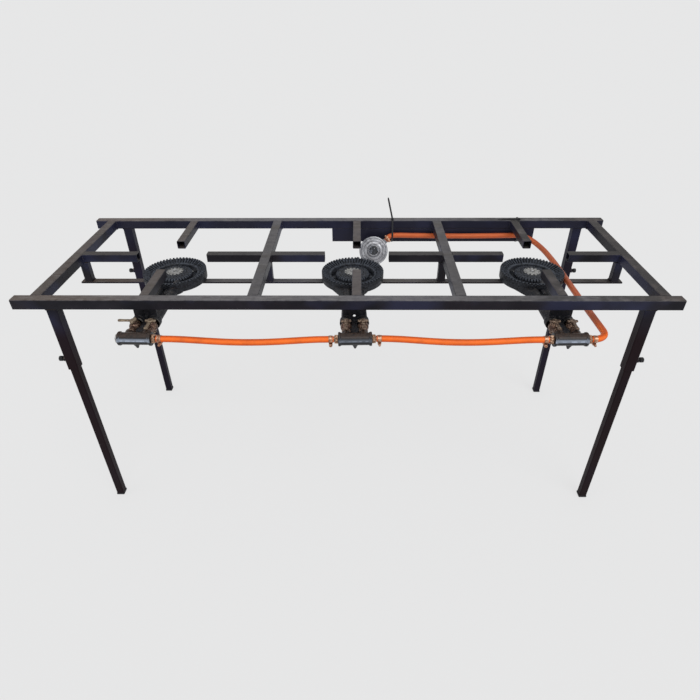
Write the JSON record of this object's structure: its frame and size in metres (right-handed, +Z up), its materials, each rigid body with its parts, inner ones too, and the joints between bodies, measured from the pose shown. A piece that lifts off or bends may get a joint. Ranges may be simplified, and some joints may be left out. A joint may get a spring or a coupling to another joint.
{
  "type": "three-burner propane stand",
  "caption": "Long welded square-tube stand with cast double-ring gas burners in a row, sliding legs, taps at the front and one hose-fed regulator.",
  "frame": {"origin": "on the floor under the middle of the stand's overall box, cords left out", "axes": "+X along the long rails to the right as seen from the taps, +Y from the taps to the rear rail, +Z up"},
  "size_m": [1.5, 0.5714, 0.7185],
  "materials": {
    "black_paint": "semi-gloss black",
    "cast_iron": "black stove enamel over rough casting",
    "cap_metal": "matt pressed metal",
    "brass": "dull machined brass",
    "bright_zinc": "bright zinc plate",
    "orange_hose": "smooth satin rubber",
    "black_plastic": "moulded black",
    "cast_alloy": "die-cast, lightly polished",
    "diaphragm_rubber": "moulded sheet"
  },
  "bodies": {
    "stand": {"front_rail": "black_paint", "rear_rail": "black_paint", "side_member_left": "black_paint", "side_member_right": "black_paint", "cross_member_left": "black_paint", "cross_member_right": "black_paint", "side_support_stubs": "black_paint", "end_support_stubs": "black_paint", "carrier_hangers": "black_paint", "burner_carrier": "black_paint", "leg_sockets": "black_paint", "socket_nuts": "black_paint", "hose_strip": "black_paint", "cable_ties": "black_plastic", "burner_casting_left": "cast_iron", "burner_casting_middle": "cast_iron", "burner_casting_right": "cast_iron", "burner_cap_left": "cap_metal", "burner_cap_middle": "cap_metal", "burner_cap_right": "cap_metal", "burner_fixings": "bright_zinc", "manifold_left": "cast_iron", "manifold_middle": "cast_iron", "manifold_right": "cast_iron", "tap_bodies_left": "brass", "tap_bodies_middle": "brass", "tap_bodies_right": "brass", "gas_jets": "brass", "manifold_plug": "bright_zinc", "hose_barbs": "brass", "hose_clamps": "bright_zinc", "hose_left": "orange_hose", "hose_middle": "orange_hose", "hose_supply": "orange_hose", "regulator_body": "cast_alloy", "regulator_cover": "cast_alloy", "regulator_cap": "black_plastic", "regulator_diaphragm": "diaphragm_rubber", "regulator_spring": "bright_zinc", "regulator_inlet": "brass"},
    "leg_front_left": {"leg_front_left": "black_paint", "foot_front_left": "black_plastic"},
    "thumb_screw_front_left": {"thumb_screw_front_left": "black_plastic"},
    "leg_front_right": {"leg_front_right": "black_paint", "foot_front_right": "black_plastic"},
    "thumb_screw_front_right": {"thumb_screw_front_right": "black_plastic"},
    "leg_rear_left": {"leg_rear_left": "black_paint", "foot_rear_left": "black_plastic"},
    "thumb_screw_rear_left": {"thumb_screw_rear_left": "black_plastic"},
    "leg_rear_right": {"leg_rear_right": "black_paint", "foot_rear_right": "black_plastic"},
    "thumb_screw_rear_right": {"thumb_screw_rear_right": "black_plastic"},
    "tap_lever_left_a": {"tap_lever_left_a": "brass"},
    "tap_lever_left_b": {"tap_lever_left_b": "brass"},
    "tap_lever_middle_a": {"tap_lever_middle_a": "brass"},
    "tap_lever_middle_b": {"tap_lever_middle_b": "brass"},
    "tap_lever_right_a": {"tap_lever_right_a": "brass"},
    "tap_lever_right_b": {"tap_lever_right_b": "brass"},
    "hand_nut": {"regulator_hand_nut": "black_plastic"}
  },
  "joints": [
    {"name": "leg_slide_front_left", "type": "slide", "parent": "stand", "child": "leg_front_left", "axis": [0, 0, -1], "range_m": [0, 0.1]},
    {"name": "clamp_turn_front_left", "type": "hinge", "parent": "stand", "child": "thumb_screw_front_left", "pos_m": [-0.663, -0.20836, 0.482], "axis": [-1, 0, 0], "range_deg": [0, 720]},
    {"name": "leg_slide_front_right", "type": "slide", "parent": "stand", "child": "leg_front_right", "axis": [0, 0, -1], "range_m": [0, 0.1]},
    {"name": "clamp_turn_front_right", "type": "hinge", "parent": "stand", "child": "thumb_screw_front_right", "pos_m": [0.68, -0.20836, 0.482], "axis": [1, 0, 0], "range_deg": [0, 720]},
    {"name": "leg_slide_rear_left", "type": "slide", "parent": "stand", "child": "leg_rear_left", "axis": [0, 0, -1], "range_m": [0, 0.1]},
    {"name": "clamp_turn_rear_left", "type": "hinge", "parent": "stand", "child": "thumb_screw_rear_left", "pos_m": [-0.663, 0.27164, 0.482], "axis": [-1, 0, 0], "range_deg": [0, 720]},
    {"name": "leg_slide_rear_right", "type": "slide", "parent": "stand", "child": "leg_rear_right", "axis": [0, 0, -1], "range_m": [0, 0.1]},
    {"name": "clamp_turn_rear_right", "type": "hinge", "parent": "stand", "child": "thumb_screw_rear_right", "pos_m": [0.68, 0.27164, 0.482], "axis": [1, 0, 0], "range_deg": [0, 720]},
    {"name": "tap_turn_left_a", "type": "hinge", "parent": "stand", "child": "tap_lever_left_a", "pos_m": [-0.4838, -0.21794, 0.58], "axis": [0, 0, 1], "range_deg": [0, 90]},
    {"name": "tap_turn_left_b", "type": "hinge", "parent": "stand", "child": "tap_lever_left_b", "pos_m": [-0.4448, -0.21869, 0.58], "axis": [0, 0, 1], "range_deg": [0, 90]},
    {"name": "tap_turn_middle_a", "type": "hinge", "parent": "stand", "child": "tap_lever_middle_a", "pos_m": [0.00205, -0.21879, 0.58], "axis": [0, 0, 1], "range_deg": [-90, 0]},
    {"name": "tap_turn_middle_b", "type": "hinge", "parent": "stand", "child": "tap_lever_middle_b", "pos_m": [0.04104, -0.21776, 0.58], "axis": [0, 0, 1], "range_deg": [0, 90]},
    {"name": "tap_turn_right_a", "type": "hinge", "parent": "stand", "child": "tap_lever_right_a", "pos_m": [0.47524, -0.21871, 0.58], "axis": [0, 0, 1], "range_deg": [-90, 0]},
    {"name": "tap_turn_right_b", "type": "hinge", "parent": "stand", "child": "tap_lever_right_b", "pos_m": [0.51423, -0.2179, 0.58], "axis": [0, 0, 1], "range_deg": [0, 90]},
    {"name": "hand_nut_spin", "type": "hinge", "parent": "stand", "child": "hand_nut", "pos_m": [0.03337, 0.21549, 0.53456], "axis": [-0.766, -0.3018, -0.5675], "continuous": true}
  ]
}
